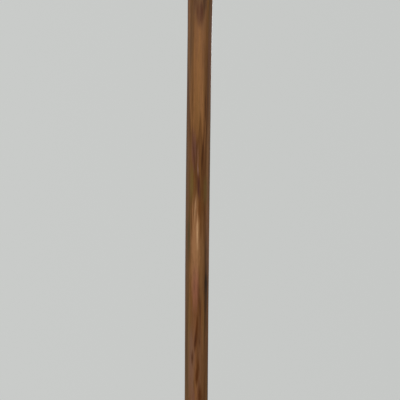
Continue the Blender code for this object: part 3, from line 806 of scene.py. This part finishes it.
def knot(name, distance, material, node):
    """A stopper knot: a lumpy button with the strip's turn showing as a groove."""
    bm = bmesh.new()
    bmesh.ops.create_icosphere(bm, subdivisions=4, radius=1)
    for v in bm.verts:
        groove = abs(sin(v.co.x * 2.5 + v.co.y * 1.5 + v.co.z * 0.8 + 0.6)) ** 0.6
        size = 0.84 + 0.18 * groove + 0.06 * noise.noise(v.co * 2.1 + Vector((distance * 50, 0, 0)))
        v.co = v.co * Vector(KNOT_SIZE) * size
    place = in_wood(distance, -inner_face(distance, KNOT_OUT), NET_Y)
    bmesh.ops.transform(bm, matrix=place, verts=bm.verts)
    mesh = mesh_of(bm, name)
    mesh.attributes.new("edge", "FLOAT", "POINT")
    mesh.shade_smooth()
    part(add_object(name, mesh), material, "runner_leather", node)


def on_outside(distance, radius, depth=NET_Y):
    """Where a cord of that radius lies on the wood's outer face."""
    return off_wood(distance, -inner_face(distance, radius), depth)


def wall_cord_route(turns):
    """Out and in through the wall's holes."""
    points = []
    for n, turn in enumerate(turns):
        for step in (-STITCH_HALF, STITCH_HALF):
            d = turn + step
            outside = [on_outside(d, LACE_R + 0.0002), on_outside(d, -0.002)]
            through = [*outside, off_wood(d, inner_face(d, 0.0012), NET_Y)]
            points += through if step < 0 else through[::-1]
            if step < 0:
                points += [stitch_point(turn - STITCH_FLAT), stitch_point(turn + STITCH_FLAT)]
        if n + 1 < len(turns):
            for t in (0.3, 0.7):
                between = (turn + STITCH_HALF) * (1 - t) + (turns[n + 1] - STITCH_HALF) * t
                points.append(on_outside(between, LACE_R - 0.0001))
    first, last = turns[0] - STITCH_HALF - STITCH_TAIL, turns[-1] + STITCH_HALF + STITCH_TAIL
    return [on_outside(first, LACE_R - 0.0001), *points, on_outside(last, LACE_R - 0.0001)]


def wall_cords(material):
    left, hook = wall_turns()
    for name, turns, node in (
        ("wall_cord", left, "wooden_wall_cord"),
        ("hook_cord", hook[::-1], "hook_wall_cord"),
    ):
        part(twisted(name, wall_cord_route(turns), LACE_R), material, "cotton_lacing", node)


def turn_round(centre, pull, radius):
    """Half a turn of cord round a centre, which pulls it that way."""
    side = Vector((-pull.y, pull.x, 0)) * (1 if pull.x > 0 else -1)
    ways = side, (side - pull) * 0.72, -pull, (-side - pull) * 0.72, -side
    return [centre + way * radius for way in ways]


def lace_turn(height, right):
    """Where a lacing row turns back: round a wall stitch, or round the rear gut strand."""
    pull = net(share(RUNNERS - 1 if right else 0), height) - net(1 if right else 0, height)
    pull.normalize()
    if right and height < TIP_HEIGHT:
        return turn_round(gut_point(2, height), pull, GUT_R + LACE_R + GAP)
    return turn_round(stitch_point(wall_distance(height, right)), pull, 2 * LACE_R + GAP)


def lace_crossings(left, right):
    """A row from a height on the left to one on the right, hitched round each runner."""
    out = []
    for i, side in enumerate(LACE_SIDES):
        fraction = share(i)
        height = left + (right - left) * fraction
        middle, back = net(fraction, height), net_normal(fraction, height) * side
        across = net_across(fraction, height, 0.02).normalized()
        up = net_up(fraction, height).normalized()
        out += [middle + (across * a + back * b + up * c) / 1000 for a, b, c in HITCH]
    return out


def cross_lacing(material):
    """One cord from side to side up the pocket, turning back at each wall."""
    points = lace_turn(LEFT_TURNS[0], right=False)[2:]
    for left, right, above in zip(LEFT_TURNS, RIGHT_TURNS, LEFT_TURNS[1:]):
        points += lace_crossings(left, right) + lace_turn(right, right=True)
        points += lace_crossings(above, right)[::-1] + lace_turn(above, right=False)
    part(twisted("lacing", points[:-2], LACE_R), material, "cotton_lacing", "cross_lacing")


def shooting_strings(material):
    """Two thick strings, over and under the runners and out through the walls."""
    lift = RUNNER_THICK / 2 + SHOOTER_R
    for n, (left, right) in enumerate(SHOOTERS):
        ends = []
        for height, on_right in ((left, False), (right, True)):
            d = wall_distance(height, on_right)
            tuck = d + (-SHOOTER_TAIL if on_right == (n == 0) else SHOOTER_TAIL)
            outside = [on_outside(tuck, SHOOTER_R, SHOOTER_Y), on_outside(d, SHOOTER_R, SHOOTER_Y)]
            inside = [on_outside(d, -0.002, SHOOTER_Y), off_wood(d, inner_face(d, 0.004), SHOOTER_Y)]
            ends.append(outside + inside)
        middle = []
        for i in range(RUNNERS):
            side = 1 if (i + n) % 2 else -1
            height = left + (right - left) * share(i)
            over = net(share(i), height) + net_normal(share(i), height) * side * lift
            middle += [over + Vector((x, 0, 0)) for x in (-0.0032, 0.0032)]
        obj = twisted(f"shooter_{n + 1}", ends[0] + middle + ends[1][::-1], SHOOTER_R, pitch=0.009)
        part(obj, material, "cotton_lacing", f"shooting_string_{n + 1}")


def gut_strands(material):
    """Three strands from the throat to the hook, each end bound to the wood."""
    steps = 16
    for s, depth in enumerate(GUT_TIE_DEPTHS):
        foot, head = (
            [off_wood(d, inner_face(d, GUT_R), depth) for d in ties] for ties in (GUT_TIES, GUT_ENDS)
        )
        low = foot[-1].z
        middle = [gut_point(s, low + (TIP_HEIGHT - low) * k / steps) for k in range(1, steps)]
        obj = twisted(f"gut_{s + 1}", foot + middle + head, GUT_R, plies=2, pitch=0.011)
        part(obj, material, "rawhide", f"gut_strand_{s + 1}")


def gut_weave(material):
    """Thinner gut, over and under the strands row upon row."""
    lift = GUT_R + WEAVE_R
    points = []
    for row in range(WEAVE_ROWS):
        height = WEAVE_FIRST + WEAVE_STEP * row
        along = (gut_point(1, height + 0.01) - gut_point(1, height - 0.01)).normalized()
        out = along.cross(Vector((0, -1, 0))).normalized()
        order = (0, 1, 2) if row % 2 == 0 else (2, 1, 0)
        for strand in order:
            side = (1 if strand % 2 == 0 else -1) * (1 if row % 2 == 0 else -1)
            points.append(gut_point(strand, height) + out * side * lift * 1.05)
        if row + 1 < WEAVE_ROWS:
            beyond = Vector((0, lift if order[-1] == 2 else -lift, 0))
            past = out * side * lift
            swings = (past + beyond) * 0.75, beyond, (beyond - past) * 0.75
            for climb, swing in zip((0.25, 0.5, 0.75), swings):
                points.append(gut_point(order[-1], height + WEAVE_STEP * climb) + swing)
    part(twisted("weave", points, WEAVE_R, plies=2, pitch=0.006), material, "rawhide", "gut_weave")


def bridge(material):
    """A bar of gut wound with gut, from the wooden wall to the gut wall."""
    wall = wall_distance(BRIDGE_HEIGHT)
    start = off_wood(wall, inner_face(wall, -0.002), -0.001)
    end = gut_point(1, BRIDGE_HEIGHT) - Vector((GUT_R + 0.0004, 0, 0))
    bow = Vector((0, -BRIDGE_BOW, 0))
    line, at = even(rounded([start, start.lerp(end, 0.3) + bow, start.lerp(end, 0.7) + bow, end]), 0.0004)
    sides = 20
    angle = np.arange(sides) * tau / sides
    lay = np.abs(np.sin((at[:, None] / BRIDGE_PITCH - angle / tau) * pi))
    ends = np.minimum(np.minimum(at, at[-1] - at) / BRIDGE_TAPER, 1)[:, None]
    size = BRIDGE_R * (0.80 + 0.17 * lay**0.5) * (0.62 + 0.38 * ends**0.5)
    rings = line[:, None, :] + around(*frames(line), angle) * size[..., None]
    # The winding's lay also masks the painted shade between its turns.
    part(skin("bridge_bar", rings, ply=lay, along=for_rings(at, sides)), material, "rawhide", "bridge")


# ---- the bindings and the grip

THROAT_THREAD_R, THREAD_R = 0.00062, 0.00055
WHIPPING_LENGTH = 0.008
THROAT_CUT, HOOK_CUT, HOOK_CUT_IN = 0.0035, 0.0019, 0.0048  # corner cuts of the head's two bindings
CUT_GROWTH = 0.59  # how much a corner cut grows as its outline swells by 1
STRIP_THICK, STRIP_LAP, LINING_IN = 0.0007, 0.00085, 0.0004


def wood_room(distance, slack=GAP):
    """The sides of the space inside a winding, and its corner cuts outside and inside the head."""
    width, depth, cut, _ = section_at(distance)
    return -width - slack, width + slack, -depth - slack, depth + slack, cut, cut


def throat_room(distance):
    """Round the wood, the gut strands on its inner face and the runners' tails on its back."""
    low, high, front, back, _, _ = wood_room(distance)
    return low, high + 2 * GUT_R, front, back + RUNNER_THICK, THROAT_CUT, THROAT_CUT


def hook_room(distance):
    """Round the wood and the gut strands on its inner face."""
    low, high, front, back, _, _ = wood_room(distance)
    return low, high + 2 * GUT_R, front, back, HOOK_CUT, HOOK_CUT_IN


def outline(room, swell, count):
    """An eased eight-sided outline round a room, as points spaced evenly round it."""
    low, high, front, back, cut, cut_in = room
    low, high, front, back = low - swell, high + swell, front - swell, back + swell
    cut += swell * CUT_GROWTH
    cut_in += swell * CUT_GROWTH
    corners = [
        (high, back - cut_in), (high - cut_in, back), (low + cut, back), (low, back - cut),
        (low, front + cut), (low + cut, front), (high - cut_in, front), (high, front + cut_in),
    ]
    flat = [Vector((*c, 0)) for c in corners]
    start = flat[-1].lerp(flat[0], 0.5)
    girth = sum((b - a).length for a, b in zip(flat, flat[1:] + flat[:1]))
    line, _ = even(rounded([start, *flat, start], 2), girth / (count * 4))
    pick = np.linspace(0, len(line) - 1, count + 1)[:-1]
    return np.stack([np.interp(pick, np.arange(len(line)), line[:, k]) for k in range(2)], axis=-1)


def whipping(name, start, end, room, thread, material, node):
    """Thread wound tightly round the wood, one turn beside the next."""
    turns = max(round((end - start) / (thread * 2.04)), 3)
    count = 44
    points = []
    for k in range(turns * count + 1):
        t = k / (turns * count)
        distance = start + thread + (end - start - 2 * thread) * t
        if k % count == 0:
            ring = outline(room(distance), thread, count)
        points.append(off_wood(distance, *ring[k % count]))
    line, at = even(points, 0.0022)
    sides = 8
    rings = line[:, None, :] + around(*frames(line), np.arange(sides) * tau / sides) * thread
    # Painted shade: darker bands along the thread, as if between plies.
    lay = for_rings(np.abs(np.cos(at * 1400)), sides)
    part(skin(name, rings, ply=lay, along=for_rings(at, sides)), material, "waxed_thread", node)


def grip(material):
    """A leather strip wound up the handle, each turn lapping over the one below."""
    start, end = GRIP
    pitch = (end - start) / GRIP_TURNS
    count, rise = 64, 0.0011
    rings, edge = [], []
    for distance in np.arange(start, end + rise / 2, rise):
        inner = outline(wood_room(distance, 0.0001), 0, count)
        away = inner - inner.mean(axis=0)
        away /= np.linalg.norm(away, axis=1)[:, None]
        phase = ((distance - start) / pitch - np.arange(count) / count) % 1
        lap = np.clip(phase / 0.10, 0, 1) * (1 - np.clip((phase - 0.86) / 0.14, 0, 1) ** 2)
        dents = np.array([0.00012 * noise.noise(Vector((a * 300, b * 300, distance * 90))) for a, b in inner])
        thick = STRIP_THICK + STRIP_LAP * lap * (0.55 + 0.45 * phase) + dents
        outer = inner + away * thick[:, None]
        rings.append([tuple(off_wood(distance, a, b)) for a, b in outer])
        edge.append(np.clip((phase - 0.80) / 0.12, 0, 1) * (1 - np.clip((phase - 0.95) / 0.05, 0, 1)))
    lining = outline(wood_room(start, 0), -LINING_IN, count)
    for distance in (end, start):
        rings.append([tuple(off_wood(distance, a, b)) for a, b in lining])
        edge.append(np.zeros(count))
    part(skin("grip_strip", rings, closed=True, edge=edge), material, "grip_leather", "grip_wrap")


def windings(material):
    """The two bindings of the head, and the whippings at the grip's ends."""
    hook = WOOD_LENGTH - HOOK_BAND[1], WOOD_LENGTH - HOOK_BAND[0]
    whipping("throat_whipping", *THROAT_BAND, throat_room, THROAT_THREAD_R, material, "throat_binding")
    whipping("hook_whipping", *hook, hook_room, THREAD_R, material, "hook_binding")
    for name, start, node in (
        ("lower_whipping", GRIP[0] - GAP - WHIPPING_LENGTH, "grip_lower_whipping"),
        ("upper_whipping", GRIP[1] + GAP, "grip_upper_whipping"),
    ):
        whipping(name, start, start + WHIPPING_LENGTH, wood_room, THREAD_R, material, node)


# ---- studio

ROOM_LEFT, ROOM_RIGHT = 0.42, 0.16  # how bright the room is on each side
WHITE, WARM = (1, 1, 1), (1, 0.985, 0.96)
LIGHTS = (  # name, place, the height that it faces, size, power in watts, colour
    ("key", (-0.16, -1.35, 2.15), 0.55, (0.9, 0.9), 56, WARM),
    ("left", (-1.7, 0.3, 0.9), 0.6, (0.7, 1.5), 2, WHITE),
    ("right", (1.7, 0.3, 0.9), 0.6, (0.7, 1.5), 3, WHITE),
    ("back", (0.6, 1.6, 1.4), 0.8, (1.0, 1.0), 20, WHITE),
)


def area_light(name, place, height, size, power, colour):
    data = bpy.data.lights.new(name, "AREA")
    data.shape, data.size, data.size_y = "RECTANGLE", *size
    data.energy, data.color = power, colour
    obj = add_object(name, data)
    obj.location = place
    obj.rotation_euler = (Vector((0, 0, height)) - Vector(place)).to_track_quat("-Z", "Y").to_euler()


def surroundings():
    """An even pale backdrop for the camera, and for the light a room brighter on the left and behind."""
    world = bpy.data.worlds.new("studio")
    bpy.context.scene.world = world
    world.use_nodes = True
    w = Nodes(world.node_tree)
    right, back, _ = w.split(w.add("ShaderNodeTexCoord", output="Generated"))
    from_left, from_front = (w.math("MULTIPLY_ADD", way, 0.5, 0.5) for way in (right, back))
    side = w.ramp(from_left, [(0.1, ROOM_LEFT), (0.9, ROOM_RIGHT)])
    depth = w.ramp(from_front, [(0.0, 0.12), (0.45, 0.6), (0.9, 1.0)])
    backdrop = w.ramp(from_left, [(0.3, linear(202, 204, 202)), (0.7, linear(197, 199, 197))])
    seen = w.add("ShaderNodeLightPath", output="Is Camera Ray")
    room = w.mix(1.0, side, depth, "MULTIPLY")
    w.put(world.node_tree.nodes["Background"].inputs["Color"], w.mix(seen, room, backdrop))


def studio():
    """A pale backdrop, soft light, mostly from the front and above, and a small pale floor."""
    bpy.context.scene.view_settings.view_transform = "Standard"
    surroundings()
    for light in LIGHTS:
        area_light(*light)
    bm = bmesh.new()
    bmesh.ops.create_circle(bm, cap_ends=True, segments=96, radius=1.0)
    floor = add_object("floor", mesh_of(bm, "floor"))
    floor.data.materials.append(floor_material())


def floor_material():
    """A matt pale floor that fades out before its rim."""
    s = Shade("floor", Base_Color=linear(196, 197, 194), Roughness=0.9)
    place = s.add("ShaderNodeTexCoord", output="Object")
    reach = s.add("ShaderNodeVectorMath", {0: place}, output="Value", operation="LENGTH")
    s.put(s.shader.inputs["Alpha"], s.ramp(reach, [(0.35, 1.0), (0.97, 0.0)]))
    return s.material


# ---- the whole scene

camera()
studio()
wood()
runner_leather = leather(
    "runner_leather", linear(52, 32, 20), linear(84, 54, 34), linear(112, 76, 48), linear(134, 96, 64), 0.58
)
# The first colour of each cord is both its painted shade between plies and the colour of its soil.
cotton = fibre(
    "cotton_lacing", linear(132, 116, 88), linear(190, 176, 146), linear(220, 210, 184), 0.82,
    Sheen_Weight=0.15,
)
rawhide = fibre(
    "rawhide", linear(118, 78, 38), linear(184, 140, 84), linear(214, 176, 118), 0.40, Coat_Weight=0.25
)
thread = fibre("waxed_thread", linear(20, 14, 11), linear(46, 32, 24), linear(74, 54, 40), 0.50)
grip_leather = leather(
    "grip_leather", linear(40, 25, 17), linear(66, 42, 28), linear(90, 60, 40), linear(112, 80, 56), 0.52
)
leather_runners(runner_leather)
wall_cords(cotton)
cross_lacing(cotton)
shooting_strings(cotton)
gut_strands(rawhide)
gut_weave(rawhide)
bridge(rawhide)
windings(thread)
grip(grip_leather)
